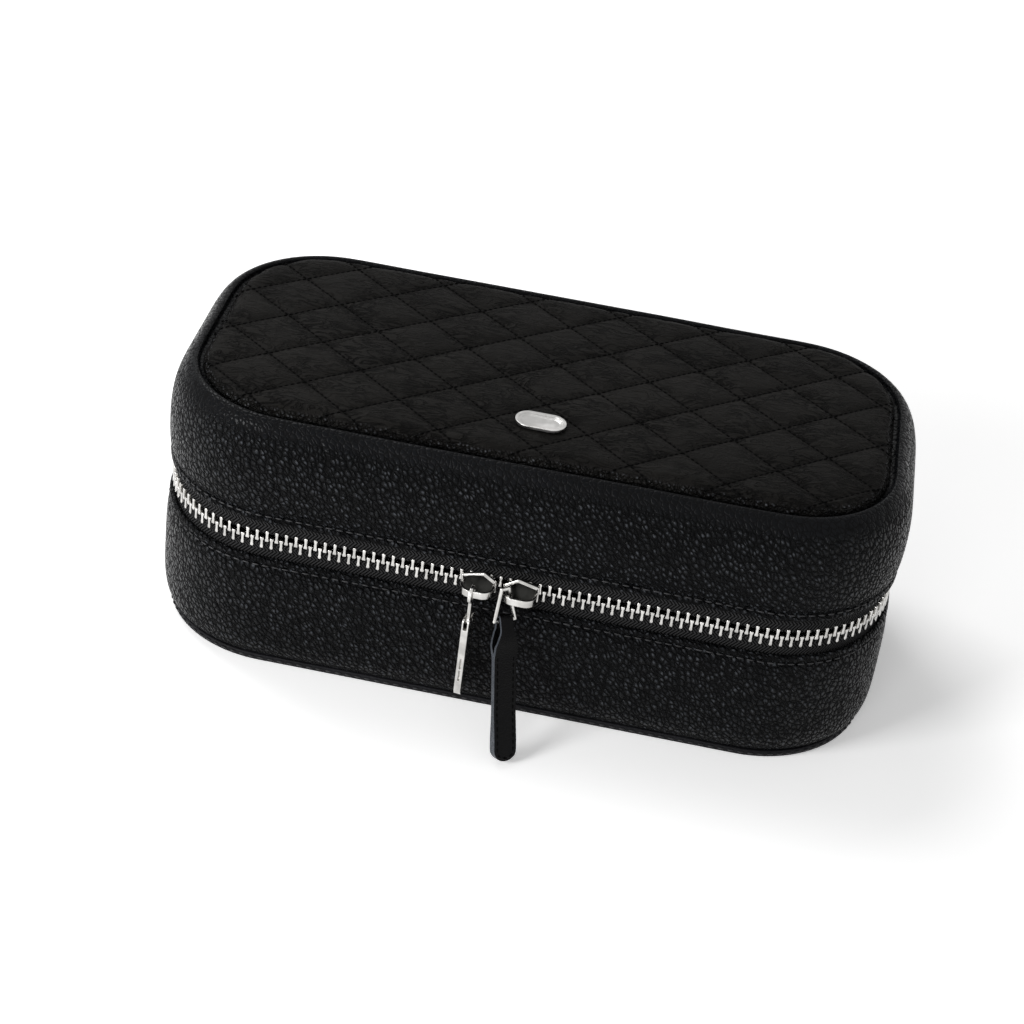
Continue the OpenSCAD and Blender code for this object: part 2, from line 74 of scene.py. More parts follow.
# Quilting: the seams cross every QUILT_X along the width and QUILT_Y across it
QUILT_X, QUILT_Y, QUILT_CROSSING_Y = 26.0, 22.0, 5.5
QUILT_SLOPE = math.hypot(QUILT_X, QUILT_Y)
QUILT_SIDE = QUILT_X * QUILT_Y / QUILT_SLOPE
SEAMS, SEAM_STITCHES = range(-8, 9), range(-90, 91)
PANEL_INSET, PANEL_TOP, PANEL_FOOT = 8.6, 80.2, 76.95
PANEL_ROLL = 2.6
CROWN, CROWN_RUN = 0.25, 25.0
PILLOW, PILLOW_LEAST, VALLEY_DEPTH, VALLEY_WIDTH = 1.1, 0.35, 0.35, 1.7
PLAQUE_Y, PLAQUE_HALF_W, PLAQUE_HALF_D, PLAQUE_FADE = -26.7, 6.0, 3.0, 4.0

STITCH_PITCH, QUILT_STITCH_PITCH = 2.8, 1.8
SHARP_ANGLE = math.radians(32)


# ---------------------------------------------------------------- shader nodes


def feed(tree, socket, value):
    """Links a socket to another, or sets its own value."""
    if isinstance(value, bpy.types.NodeSocket):
        tree.links.new(value, socket)
    else:
        socket.default_value = value


def node(tree, kind, into=None, **settings):
    """A shader node with its inputs fed from into and its own settings."""
    made = tree.nodes.new("ShaderNode" + kind)
    for key, value in settings.items():
        setattr(made, key, value)
    for key, value in (into or {}).items():
        feed(tree, made.inputs[key], value)
    return made


def calc(tree, operation, a, b=0.0):
    return node(tree, "Math", {0: a, 1: b}, operation=operation).outputs[0]


def remap(tree, value, low, high, to_low, to_high):
    """A smooth step of value from low..high to to_low..to_high, held beyond both."""
    made = node(tree, "MapRange", {0: value, 1: low, 2: high, 3: to_low, 4: to_high})
    made.interpolation_type = "SMOOTHSTEP"
    return made.outputs[0]


def tint(tree, factor, a, b):
    """Colour a where factor is 0, b where it is 1."""
    return node(tree, "Mix", {0: factor, 6: a, 7: b}, data_type="RGBA").outputs[2]


def effect(name, inputs, outputs):
    """An empty node group with float inputs, one Vector input and the named outputs."""
    tree = bpy.data.node_groups.new(name, "ShaderNodeTree")
    tree.interface.new_socket("Vector", in_out="INPUT", socket_type="NodeSocketVector")
    for key, value in inputs.items():
        socket = tree.interface.new_socket(key, in_out="INPUT", socket_type="NodeSocketFloat")
        socket.default_value = value
    for key in outputs:
        tree.interface.new_socket(key, in_out="OUTPUT", socket_type="NodeSocketFloat")
    return tree, tree.nodes.new("NodeGroupInput"), tree.nodes.new("NodeGroupOutput")


def pebble_grain():
    """Tumbled hide: slanting round pebbles, crevices between them, and a painted highlight on their tops.
    """
    sizes = {"Cells": 900.0, "Stretch": 1.0}
    tree, given, out = effect("pebble_grain", sizes, ["Height", "Crevice", "Top"])
    wobble = node(tree, "TexNoise", {"Vector": given.outputs["Vector"], "Scale": 420.0, "Detail": 2.0})
    middle, reach = (0.5, 0.5, 0.5), 0.0011
    bent = node(tree, "VectorMath", {0: wobble.outputs["Color"], 1: middle}, operation="SUBTRACT")
    bent = node(tree, "VectorMath", {0: bent.outputs[0], "Scale": reach}, operation="SCALE")
    moved = node(tree, "VectorMath", {0: given.outputs["Vector"], 1: bent.outputs[0]}, operation="ADD")
    slant = (1.0, 0.1, 0.32)
    slanted = node(tree, "VectorMath", {0: moved.outputs[0], 1: slant}, operation="DOT_PRODUCT")
    parts = node(tree, "SeparateXYZ", {0: moved.outputs[0]})
    tall = calc(tree, "MULTIPLY", parts.outputs[2], given.outputs["Stretch"])
    long_way = node(tree, "CombineXYZ", {0: slanted.outputs["Value"], 1: parts.outputs[1], 2: tall})
    spread = {"Vector": long_way.outputs[0], "Scale": given.outputs["Cells"]}
    cells = node(tree, "TexVoronoi", spread)
    edges = node(tree, "TexVoronoi", spread, feature="DISTANCE_TO_EDGE")
    dome = calc(tree, "SUBTRACT", 1.0, calc(tree, "POWER", cells.outputs["Distance"], 2.0))
    shoulder = remap(tree, edges.outputs["Distance"], 0.0, 0.2, 0.0, 1.0)
    pores = node(tree, "TexNoise", {"Vector": moved.outputs[0], "Scale": 3200.0, "Detail": 2.0})
    height = calc(tree, "ADD", dome, calc(tree, "MULTIPLY", shoulder, 0.35))
    height = calc(tree, "ADD", height, calc(tree, "MULTIPLY", pores.outputs["Fac"], 0.06))
    feed(tree, out.inputs["Height"], height)
    feed(tree, out.inputs["Crevice"], calc(tree, "SUBTRACT", 1.0, shoulder))
    # Painted highlight: a mask for a paler colour on each pebble's top that stands in for its glint,
    # stronger on some pebbles than on others.
    chance = node(tree, "SeparateColor", {0: cells.outputs["Color"]})
    glint_share = remap(tree, chance.outputs[0], 0.0, 1.0, 0.35, 1.0)
    top = remap(tree, cells.outputs["Distance"], 0.0, 0.4, 1.0, 0.0)
    feed(tree, out.inputs["Top"], calc(tree, "MULTIPLY", top, glint_share))
    return tree


def soft_creases():
    """Fine crepe of short wavy creases that run mostly along X."""
    tree, given, out = effect("soft_creases", {"Scale": 330.0, "Run": 0.42}, ["Height", "Crease"])
    run = node(tree, "CombineXYZ", {0: given.outputs["Run"], 1: 1.0, 2: 1.0})
    laid = node(tree, "VectorMath", {0: given.outputs["Vector"], 1: run.outputs[0]}, operation="MULTIPLY")
    waves = node(
        tree, "TexNoise",
        {"Vector": laid.outputs[0], "Scale": given.outputs["Scale"], "Detail": 4.0,
         "Roughness": 0.55, "Distortion": 1.6},
    )
    ridge = calc(tree, "ABSOLUTE", calc(tree, "SUBTRACT", waves.outputs["Fac"], 0.5))
    crease = remap(tree, ridge, 0.0, 0.07, 1.0, 0.0)
    where = node(tree, "TexNoise", {"Vector": given.outputs["Vector"], "Scale": 95.0, "Detail": 1.0})
    patch = remap(tree, where.outputs["Fac"], 0.35, 0.65, 0.25, 1.0)
    crease = calc(tree, "MULTIPLY", crease, patch)
    swell = calc(tree, "MULTIPLY", waves.outputs["Fac"], 0.6)
    feed(tree, out.inputs["Height"], calc(tree, "SUBTRACT", swell, calc(tree, "MULTIPLY", crease, 0.5)))
    feed(tree, out.inputs["Crease"], crease)
    return tree


def patina():
    """Slow changes of tone from handling, and a fine speckle."""
    tree, given, out = effect("patina", {"Scale": 22.0}, ["Tone", "Fine"])
    slow = node(
        tree, "TexNoise",
        {"Vector": given.outputs["Vector"], "Scale": given.outputs["Scale"],
         "Detail": 3.0, "Roughness": 0.6},
    )
    fine = node(tree, "TexNoise", {"Vector": given.outputs["Vector"], "Scale": 900.0, "Detail": 2.0})
    feed(tree, out.inputs["Tone"], remap(tree, slow.outputs["Fac"], 0.3, 0.7, 0.0, 1.0))
    feed(tree, out.inputs["Fine"], fine.outputs["Fac"])
    return tree


def herringbone():
    """Woven tape: short slanting ribs that turn over in bands. U runs along the tape, V across."""
    tree, given, out = effect("herringbone", {"Ribs": 1000.0, "Bands": 520.0}, ["Height", "Shade"])
    parts = node(tree, "SeparateXYZ", {0: given.outputs["Vector"]})
    band = calc(tree, "MULTIPLY", parts.outputs[1], given.outputs["Bands"])
    fold = calc(tree, "PINGPONG", band, 1.0)
    slant = calc(tree, "MULTIPLY", fold, 1.7)
    along = calc(tree, "ADD", calc(tree, "MULTIPLY", parts.outputs[0], given.outputs["Ribs"]), slant)
    rib = remap(tree, calc(tree, "PINGPONG", along, 0.5), 0.02, 0.34, 0.0, 1.0)
    fluff = node(tree, "TexNoise", {"Vector": given.outputs["Vector"], "Scale": 5000.0, "Detail": 1.0})
    height = calc(tree, "ADD", rib, calc(tree, "MULTIPLY", fluff.outputs["Fac"], 0.25))
    feed(tree, out.inputs["Height"], height)
    feed(tree, out.inputs["Shade"], rib)
    return tree


def fine_scratches():
    """Polishing marks and handling smudges on bright metal."""
    tree, given, out = effect("fine_scratches", {"Run": 24.0}, ["Height", "Smudge"])
    run = node(tree, "CombineXYZ", {0: 1.0, 1: 1.0, 2: given.outputs["Run"]})
    laid = node(tree, "VectorMath", {0: given.outputs["Vector"], 1: run.outputs[0]}, operation="MULTIPLY")
    lines = node(tree, "TexNoise", {"Vector": laid.outputs[0], "Scale": 700.0, "Detail": 3.0})
    smudge = node(tree, "TexNoise", {"Vector": given.outputs["Vector"], "Scale": 240.0, "Detail": 2.0})
    feed(tree, out.inputs["Height"], lines.outputs["Fac"])
    feed(tree, out.inputs["Smudge"], remap(tree, smudge.outputs["Fac"], 0.35, 0.7, 0.0, 1.0))
    return tree


GRAIN, CREASES, PATINA = pebble_grain(), soft_creases(), patina()
WEAVE, SCRATCHES = herringbone(), fine_scratches()


def surface(name, color=(0.5, 0.5, 0.5), roughness=0.5, metallic=0.0, **more):
    """A material with its shader and its Object coordinates."""
    made = bpy.data.materials.new(name)
    made.use_nodes = True
    tree = made.node_tree
    shader = tree.nodes["Principled BSDF"]
    shader.inputs["Base Color"].default_value = (*color, 1.0)
    shader.inputs["Roughness"].default_value = roughness
    shader.inputs["Metallic"].default_value = metallic
    for key, value in more.items():
        shader.inputs[key.replace("_", " ")].default_value = value
    place = node(tree, "TexCoord").outputs["Object"]
    return made, tree, shader, place


def use(tree, kind, **inputs):
    """A node of the group kind, with its inputs set."""
    made = node(tree, "Group")
    made.node_tree = kind
    for key, value in inputs.items():
        feed(tree, made.inputs[key], value)
    return made


def relief(tree, shader, height, depth):
    """Bumps of the given depth in metres."""
    bump = node(tree, "Bump", {"Height": height, "Distance": depth, "Strength": 1.0})
    feed(tree, shader.inputs["Normal"], bump.outputs[0])


def pebbled_leather():
    """Wall leather, with painted shade in its crevices and a painted highlight on its pebble tops. Its
    grain is pressed flat under the groove of the lid and fades at the left end.
    """
    made, tree, shader, place = surface("pebbled_leather", Specular_IOR_Level=0.07)
    grain = use(tree, GRAIN, Vector=place, Cells=740.0, Stretch=0.8)
    tone = use(tree, PATINA, Vector=place)
    color = tint(tree, tone.outputs["Tone"], (0.002, 0.0023, 0.003, 1), (0.0042, 0.0047, 0.0058, 1))
    # Painted shade: the crevices between the pebbles are painted nearly black.
    color = tint(tree, grain.outputs["Crevice"], color, (0.0008, 0.0008, 0.001, 1))
    feed(tree, shader.inputs["Roughness"], remap(tree, grain.outputs["Crevice"], 0.0, 1.0, 0.2, 0.7))
    parts = node(tree, "SeparateXYZ", {0: place})
    under_groove = remap(tree, parts.outputs[2], 0.0725, 0.0765, 1.0, 0.12)
    left_end = remap(tree, parts.outputs[0], -0.101, -0.078, 0.4, 1.0)
    grained = calc(tree, "MULTIPLY", under_groove, left_end)
    # Painted highlight: a pale colour on the pebble tops stands in for their glints, weaker where the
    # grain fades.
    painted_glints = calc(tree, "MULTIPLY", grain.outputs["Top"], calc(tree, "POWER", grained, 2.0))
    feed(tree, shader.inputs["Base Color"], tint(tree, painted_glints, color, (0.065, 0.07, 0.079, 1)))
    height = calc(tree, "MULTIPLY", grain.outputs["Height"], grained)
    relief(tree, shader, height, 0.0013)
    return made


def seam_distance(tree, place):
    """Distance in metres from the nearest seam of the quilting, and the height of the point."""
    parts = node(tree, "SeparateXYZ", {0: place})
    across = calc(tree, "DIVIDE", parts.outputs[0], QUILT_X * mm)
    from_crossing = calc(tree, "SUBTRACT", parts.outputs[1], QUILT_CROSSING_Y * mm)
    up = calc(tree, "DIVIDE", from_crossing, QUILT_Y * mm)
    first = calc(tree, "PINGPONG", calc(tree, "ADD", across, up), 0.5)
    second = calc(tree, "PINGPONG", calc(tree, "SUBTRACT", across, up), 0.5)
    nearest = calc(tree, "MULTIPLY", calc(tree, "MINIMUM", first, second), QUILT_SIDE * mm)
    return nearest, parts.outputs[2]


def quilt_leather():
    """Matt creped leather, darker along the seams, with painted shade in its creases and groove and a
    painted highlight on its grained glossy roll.
    """
    made, tree, shader, place = surface("quilt_leather", Specular_IOR_Level=0.035)
    crepe = use(tree, CREASES, Vector=place)
    grain = use(tree, GRAIN, Vector=place, Cells=900.0)
    tone = use(tree, PATINA, Vector=place, Scale=30.0)
    seam, z = seam_distance(tree, place)
    color = tint(tree, tone.outputs["Tone"], (0.0066, 0.0062, 0.0057, 1), (0.0096, 0.009, 0.0083, 1))
    # Painted shade: the creases of the crepe are painted darker.
    color = tint(tree, crepe.outputs["Crease"], color, (0.0016, 0.0015, 0.0014, 1))
    on_seam = remap(tree, seam, 0.0001, 0.0005, 1.0, 0.0)
    color = tint(tree, on_seam, color, (0.004, 0.0038, 0.0035, 1))
    # Painted shade: the panel's side down in the groove is painted black.
    groove_painted_shade = remap(tree, z, 0.0778, 0.0785, 1.0, 0.0)
    color = tint(tree, groove_painted_shade, color, (0.0005, 0.0005, 0.0005, 1))
    roll = remap(tree, z, 0.0791, 0.08, 1.0, 0.0)
    above_groove = remap(tree, z, 0.0779, 0.0785, 0.0, 1.0)
    lit = calc(tree, "MULTIPLY", roll, above_groove)
    # Painted highlight: a pale colour on the pebble tops of the roll stands in for their glints.
    painted_glints = calc(tree, "MULTIPLY", grain.outputs["Top"], lit)
    feed(tree, shader.inputs["Base Color"], tint(tree, painted_glints, color, (0.1, 0.105, 0.115, 1)))
    feed(tree, shader.inputs["Roughness"], remap(tree, roll, 0.0, 1.0, 0.6, 0.26))
    grained = calc(tree, "MULTIPLY", grain.outputs["Height"], calc(tree, "MULTIPLY", roll, 0.6))
    height = calc(tree, "ADD", crepe.outputs["Height"], grained)
    relief(tree, shader, height, 0.0013)
    return made


def smooth_leather(name, low, high, roughness):
    """Fine-grained leather whose tone wanders from low to high."""
    made, tree, shader, place = surface(name, Specular_IOR_Level=0.09)
    grain = use(tree, GRAIN, Vector=place, Cells=2100.0)
    tone = use(tree, PATINA, Vector=place, Scale=60.0)
    feed(tree, shader.inputs["Base Color"], tint(tree, tone.outputs["Tone"], low, high))
    gloss = remap(tree, tone.outputs["Fine"], 0.25, 0.75, roughness - 0.06, roughness + 0.1)
    feed(tree, shader.inputs["Roughness"], gloss)
    relief(tree, shader, grain.outputs["Height"], 0.00006)
    return made


def suede():
    made, tree, shader, place = surface(
        "suede_lining", roughness=0.95, Sheen_Weight=0.35, Sheen_Roughness=0.5,
    )
    tone = use(tree, PATINA, Vector=place, Scale=35.0)
    color = tint(tree, tone.outputs["Tone"], (0.085, 0.078, 0.078, 1), (0.125, 0.115, 0.115, 1))
    fuzz = tint(tree, tone.outputs["Fine"], color, (0.15, 0.14, 0.14, 1))
    feed(tree, shader.inputs["Base Color"], fuzz)
    relief(tree, shader, tone.outputs["Fine"], 0.00025)
    return made


def woven_tape():
    made, tree, shader, _ = surface("zip_tape", Specular_IOR_Level=0.06)
    strip = node(tree, "UVMap").outputs["UV"]
    weave = use(tree, WEAVE, Vector=strip)
    # Painted shade: the grooves between the ribs of the weave are painted nearly black.
    color = tint(tree, weave.outputs["Shade"], (0.0005, 0.0005, 0.0006, 1), (0.03, 0.03, 0.031, 1))
    feed(tree, shader.inputs["Base Color"], color)
    feed(tree, shader.inputs["Roughness"], remap(tree, weave.outputs["Shade"], 0.0, 1.0, 0.9, 0.6))
    relief(tree, shader, weave.outputs["Height"], 0.0006)
    return made


def thread(name, low, high, roughness, gloss):
    made, tree, shader, place = surface(name, roughness=roughness, Specular_IOR_Level=gloss)
    ply = use(tree, SCRATCHES, Vector=place, Run=1.0)
    feed(tree, shader.inputs["Base Color"], tint(tree, ply.outputs["Smudge"], low, high))
    relief(tree, shader, ply.outputs["Height"], 0.0001)
    return made


def bright_metal(name, low, high, roughness):
    made, tree, shader, place = surface(name, metallic=1.0, roughness=roughness)
    marks = use(tree, SCRATCHES, Vector=place)
    feed(tree, shader.inputs["Base Color"], tint(tree, marks.outputs["Smudge"], low, high))
    rough = remap(tree, marks.outputs["Smudge"], 0.0, 1.0, roughness, roughness + 0.09)
    feed(tree, shader.inputs["Roughness"], rough)
    relief(tree, shader, marks.outputs["Height"], 0.00001)
    return made


def fibre_board():
    made, tree, shader, place = surface("fibre_board", roughness=0.85)
    tone = use(tree, PATINA, Vector=place, Scale=80.0)
    color = tint(tree, tone.outputs["Fine"], (0.018, 0.017, 0.016, 1), (0.03, 0.029, 0.028, 1))
    feed(tree, shader.inputs["Base Color"], color)
    relief(tree, shader, tone.outputs["Fine"], 0.0001)
    return made


def silvered_glass():
    made, tree, shader, place = surface("silvered_glass", metallic=1.0, roughness=0.03)
    tone = use(tree, PATINA, Vector=place, Scale=12.0)
    color = tint(tree, tone.outputs["Tone"], (0.84, 0.87, 0.88, 1), (0.88, 0.9, 0.91, 1))
    feed(tree, shader.inputs["Base Color"], color)
    feed(tree, shader.inputs["Roughness"], remap(tree, tone.outputs["Fine"], 0.4, 0.8, 0.015, 0.05))
    return made


PEBBLED, QUILTED, SUEDE, TAPE = pebbled_leather(), quilt_leather(), suede(), woven_tape()
TURNED = smooth_leather("turned_leather", (0.007, 0.007, 0.008, 1), (0.012, 0.012, 0.014, 1), 0.38)
PATENT = smooth_leather("pull_leather", (0.0008, 0.0008, 0.001, 1), (0.0016, 0.0016, 0.002, 1), 0.14)
# The tab's edge paint is a pale grey-blue: partly the colour of its paint, partly a painted highlight of
# its gloss.
EDGE_PAINT_AND_SHEEN = smooth_leather("edge_paint_and_sheen", (0.04, 0.046, 0.055, 1), (0.065, 0.072, 0.084, 1), 0.25)
THREAD = thread("black_thread", (0.009, 0.009, 0.01, 1), (0.024, 0.024, 0.026, 1), 0.36, 0.3)
MATT_THREAD = thread(
    "quilting_thread", (0.0003, 0.0003, 0.0003, 1), (0.0012, 0.0012, 0.0012, 1), 0.9, 0.05,
)
METAL = bright_metal("polished_metal", (0.46, 0.452, 0.436, 1), (0.64, 0.63, 0.61, 1), 0.13)
SATIN_METAL = bright_metal("satin_metal", (0.42, 0.415, 0.405, 1), (0.56, 0.55, 0.54, 1), 0.28)
# Painted shade: a near-black copy of the metal that stands in for the shadow in the hollow of each
# slider.
PAINTED_SHADE_METAL = bright_metal("painted_shade_metal", (0.012, 0.012, 0.011, 1), (0.03, 0.03, 0.028, 1), 0.25)
BOARD, MIRROR = fibre_board(), silvered_glass()


# ---------------------------------------------------------------- mesh helpers


def at(x, y, z):
    """A point or step in metres from millimetres."""
    return Vector((x, y, z)) * mm


def finish(name, bm, body, material, replaces=(), subdivisions=0, recalculate=True):
    """Makes a smooth piece from bm, which rides on body and takes the place of the nodes replaces."""
    if recalculate:
        bmesh.ops.recalc_face_normals(bm, faces=bm.faces)
    for face in bm.faces:
        face.smooth = True
    mesh = bpy.data.meshes.new(name)
    bm.to_mesh(mesh)
    bm.free()
    for each in material if isinstance(material, (list, tuple)) else [material]:
        mesh.materials.append(each)
    piece = bpy.data.objects.new(name, mesh)
    bpy.context.scene.collection.objects.link(piece)
    if subdivisions:
        smooth = piece.modifiers.new("smooth", "SUBSURF")
        smooth.levels = smooth.render_levels = subdivisions
    if body:
        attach(piece, body)
    if replaces:
        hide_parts(*replaces)
    return piece


OUTLINE_CORNERS = [(RUN_X, -RUN_Y), (RUN_X, RUN_Y), (-RUN_X, RUN_Y), (-RUN_X, -RUN_Y), (0.0, -RUN_Y)]
OUTLINE_LEGS = [RUN_X, 2 * RUN_Y, 2 * RUN_X, 2 * RUN_Y, RUN_X]


def outline_length(inset):
    """Length in mm of the case's outline, inset by so much."""
    return sum(OUTLINE_LEGS) + 2 * math.pi * (CORNER - inset)


def on_outline(s, inset):
    """Point (x, y) and heading in degrees, s along the outline from the middle of the front."""
    s %= outline_length(inset)
    r = CORNER - inset
    for k, (centre, leg) in enumerate(zip(OUTLINE_CORNERS, OUTLINE_LEGS)):
        straight = s <= leg or k == 4
        turn = 90.0 * k + (0.0 if straight else min(90.0, math.degrees((s - leg) / r)))
        if straight or s - leg <= math.pi / 2 * r:
            heading = Matrix.Rotation(math.radians(turn), 2)
            out = heading @ Vector((0.0, -r))
            along = heading @ Vector((s - leg if straight else 0.0, 0.0))
            return Vector(centre) + out + along, turn
        s -= leg + math.pi / 2 * r


def along_outline(x, y, inset):
    """The s of on_outline for a point beside the outline."""
    near_x, near_y = max(-RUN_X, min(RUN_X, x)), max(-RUN_Y, min(RUN_Y, y))
    nudge, slack = 1e-6, 1e-5
    turn = (math.degrees(math.atan2(y - near_y, x - near_x)) + 90.0 + nudge) % 360.0
    if turn <= 90.0 + slack and near_x >= 0:
        straight = near_x + near_y + RUN_Y
    elif 90.0 < turn <= 180.0 + slack:
        straight = 2 * RUN_X + 2 * RUN_Y - near_x
    elif 90.0 < turn <= 270.0 + slack:
        straight = 3 * RUN_X + 3 * RUN_Y - near_y
    else:
        turn = turn if turn > 180.0 else turn + 360.0
        straight = 4 * RUN_X + 4 * RUN_Y + near_x
    return straight + math.radians(turn) * (CORNER - inset)


def carry_round(bm, row, long_steps=8, short_steps=4, turns=8):
    """Carries a row of edges round the case's outline and closes it on itself."""
    steps = [long_steps, short_steps, 2 * long_steps, short_steps, long_steps]
    for k, (leg, count) in enumerate(zip(OUTLINE_LEGS, steps)):
        heading = Matrix.Rotation(math.radians(90 * k), 3, "Z") @ Vector((leg * mm / count, 0, 0))
        row = bmesh.ops.spin(bm, geom=row, dvec=heading, angle=0.0, steps=count)["geom_last"]
        if k < 4:
            row = bmesh.ops.spin(
                bm, geom=row, cent=at(*OUTLINE_CORNERS[k], 0), axis=(0, 0, 1),
                angle=math.pi / 2, steps=turns,
            )["geom_last"]
    bmesh.ops.remove_doubles(bm, verts=bm.verts, dist=0.00001)


def section_ring(bm, section, side=-1):
    """A closed ring of edges through points of (inset, height), at the middle of the front.

    With side 1 it stands at the middle of the back.
    """
    verts = [bm.verts.new(at(0, side * (HALF_D - inset), z)) for inset, z in section]
    return [bm.edges.new(pair) for pair in zip(verts, verts[1:] + verts[:1])]


def soften(bm, size=0.12, wave=24.0, seed=3):
    """Small slow irregularities, as in hand-made leather work. Both lengths are in mm.

    Without a seed of its own, the noise would differ from run to run.
    """
    noise.seed_set(seed)
    for vert in bm.verts:
        vert.co += noise.noise_vector(vert.co / (wave * mm)) * size * mm


def leather_wall(name, section, body, node_name):
    bm = bmesh.new()
    carry_round(bm, section_ring(bm, section))
    soften(bm)
    finish(name, bm, body, PEBBLED, [node_name], 2)


def bevel(bm, edges, size, segments):
    bmesh.ops.bevel(
        bm, geom=edges, offset=size * mm, offset_type="OFFSET", segments=segments, profile=0.5,
        affect="EDGES", clamp_overlap=True, material=-1,
    )


def dress(node_name, name, material, edge=0.15, segments=2, tray=None, sides=None, border=0.0):
    """A bevelled copy of a rigid solid, which stands for it.

    tray is (width, depth): the top face sinks by that depth inside a rim of that width. sides is a
    direction: the faces that look along it, inside a border, take the second material.
    """
    bm = bmesh.new()
    bm.from_mesh(frame["nodes"][node_name].data)
    bmesh.ops.remove_doubles(bm, verts=bm.verts, dist=0.000002)
    bmesh.ops.dissolve_limit(bm, angle_limit=math.radians(1.0), verts=bm.verts, edges=bm.edges)
    if tray:
        rim, depth = tray
        top = max((f for f in bm.faces if f.normal.z > 0.99), key=lambda f: f.calc_area())
        for share, sink in ((0.6, 0.0), (0.4, -depth)):
            bmesh.ops.inset_region(
                bm, faces=[top], thickness=share * rim * mm, depth=sink * mm, use_even_offset=True,
            )
    sharp = [e for e in bm.edges if len(e.link_faces) == 2 and e.calc_face_angle(0.0) > SHARP_ANGLE]
    bevel(bm, sharp, edge, segments)
    if sides:
        flat = [f for f in bm.faces if abs(f.normal.dot(Vector(sides).normalized())) > 0.8]
        if border:
            bmesh.ops.inset_region(bm, faces=flat, thickness=border * mm, use_even_offset=True)
        for face in flat:
            face.material_index = 1
    body = frame["nodes"][node_name]["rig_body"]
    piece = finish(name, bm, body, material, [node_name], recalculate=False)
    shading = piece.modifiers.new("flat faces", "WEIGHTED_NORMAL")
    shading.weight = 100
    return piece


def stitch_mesh(length, width):
    """One stitch of thread along X, plump in the middle and sunk at its ends."""
    bm = bmesh.new()
    bmesh.ops.create_uvsphere(bm, u_segments=8, v_segments=6, radius=0.5)
    bmesh.ops.rotate(bm, verts=bm.verts, matrix=Matrix.Rotation(math.pi / 2, 3, "Y"))
    bmesh.ops.scale(bm, verts=bm.verts, vec=at(length, width, width))
    mesh = bpy.data.meshes.new("one_stitch")
    bm.to_mesh(mesh)
    bm.free()
    return mesh


def repeat(bm, mesh, places):
    """Adds a copy of mesh at each of the 4x4 matrices."""
    for place in places:
        mesh.transform(place)
        bm.from_mesh(mesh)
        mesh.transform(place.inverted())


def stitches(name, places, body, material, length, width):
    """A row of equal stitches, one at each place, that exists in the visual model only."""
    bm = bmesh.new()
    mesh = stitch_mesh(length, width)
    repeat(bm, mesh, places)
    bpy.data.meshes.remove(mesh)
    finish(name, bm, body, material, recalculate=False)


def rotation(degrees, axis):
    return Matrix.Rotation(math.radians(degrees), 4, axis)


def outline_place(s, inset, z):
    """A place on the outline, with X along it and Y inwards."""
    point, turn = on_outline(s, inset)
    return Matrix.Translation(at(*point, z)) @ rotation(turn, "Z")


def outline_row(inset, z):
    """Places for a row of stitches all round the outline."""
    length = outline_length(inset)
    count = round(length / STITCH_PITCH)
    for i in range(count):
        yield outline_place(i * length / count, inset, z)


# ---------------------------------------------------------------- leather walls

# Sections of the walls, as (inset, height). Both have a turned rim with a stitched dip in it
LID_OUTER = [
    (1.9, 48.35), (1.0, 48.45), (0.5, 49.2), (0.75, 50.1), (1.35, 50.75), (0.85, 51.5), (0.35, 53.0),
    (0.05, 57.0), (0.0, 62.0), (0.25, 66.5), (0.9, 70.5), (2.1, 74.2), (3.7, 77.0), (5.2, 78.5),
    (6.3, 78.95), (7.1, 78.7), (7.35, 77.7), (7.7, 77.05), (9.9, 76.98),
]
LID_INNER = [
    (9.9, 76.85), (7.0, 76.87), (5.2, 76.85), (3.6, 74.6), (2.2, 71.0), (1.6, 66.5), (1.45, 57.0),
    (2.0, 51.0), (2.4, 49.0),
]
BASE_OUTER = [
    (2.4, 36.2), (1.9, 36.75), (1.0, 36.65), (0.5, 35.85), (0.75, 34.9), (1.35, 34.3), (0.85, 33.5),
    (0.35, 32.0), (0.05, 28.0), (0.0, 20.0), (0.0, 11.5), (0.35, 7.2), (1.1, 4.6), (2.1, 3.0), (3.1, 2.3),
]
BASE_INNER = [(3.9, 2.25), (3.4, 4.0), (2.3, 6.5), (1.6, 9.5), (1.45, 14.0), (1.45, 26.0), (2.0, 33.0)]

leather_wall("lid_leather_wall", LID_OUTER + LID_INNER, "lid", "lid_wall")
leather_wall("base_leather_wall", BASE_OUTER + BASE_INNER, "base", "base_wall")

stitches("lid_rim_stitches", outline_row(1.0, 50.75), "lid", THREAD, 2.0, 0.55)
stitches("base_rim_stitches", outline_row(1.0, 34.3), "base", THREAD, 2.0, 0.55)

dress("base_bottom_panel", "base_bottom_leather", TURNED, edge=0.5, segments=3)
stitches("bottom_flange_stitches", outline_row(2.45, 1.15), "base", THREAD, 1.7, 0.5)


# ---------------------------------------------------------------- quilted cover


def inside_panel(x, y):
    """Distance in mm from a point to the panel's edge, positive inside."""
    r = CORNER - PANEL_INSET
    dx, dy = abs(x) - RUN_X, abs(y) - RUN_Y
    if dx > 0 and dy > 0:
        return r - math.hypot(dx, dy)
    return r - max(dx, dy)


def quilt_share(x, y):
    """0 on a seam, 1 in the middle of a diamond."""
    across, up = x / QUILT_X, (y - QUILT_CROSSING_Y) / QUILT_Y
    a, b = (abs((t + 0.5) % 1.0 - 0.5) * QUILT_SIDE for t in (across + up, across - up))
    return (1 - math.exp(-a / VALLEY_WIDTH)) * (1 - math.exp(-b / VALLEY_WIDTH))


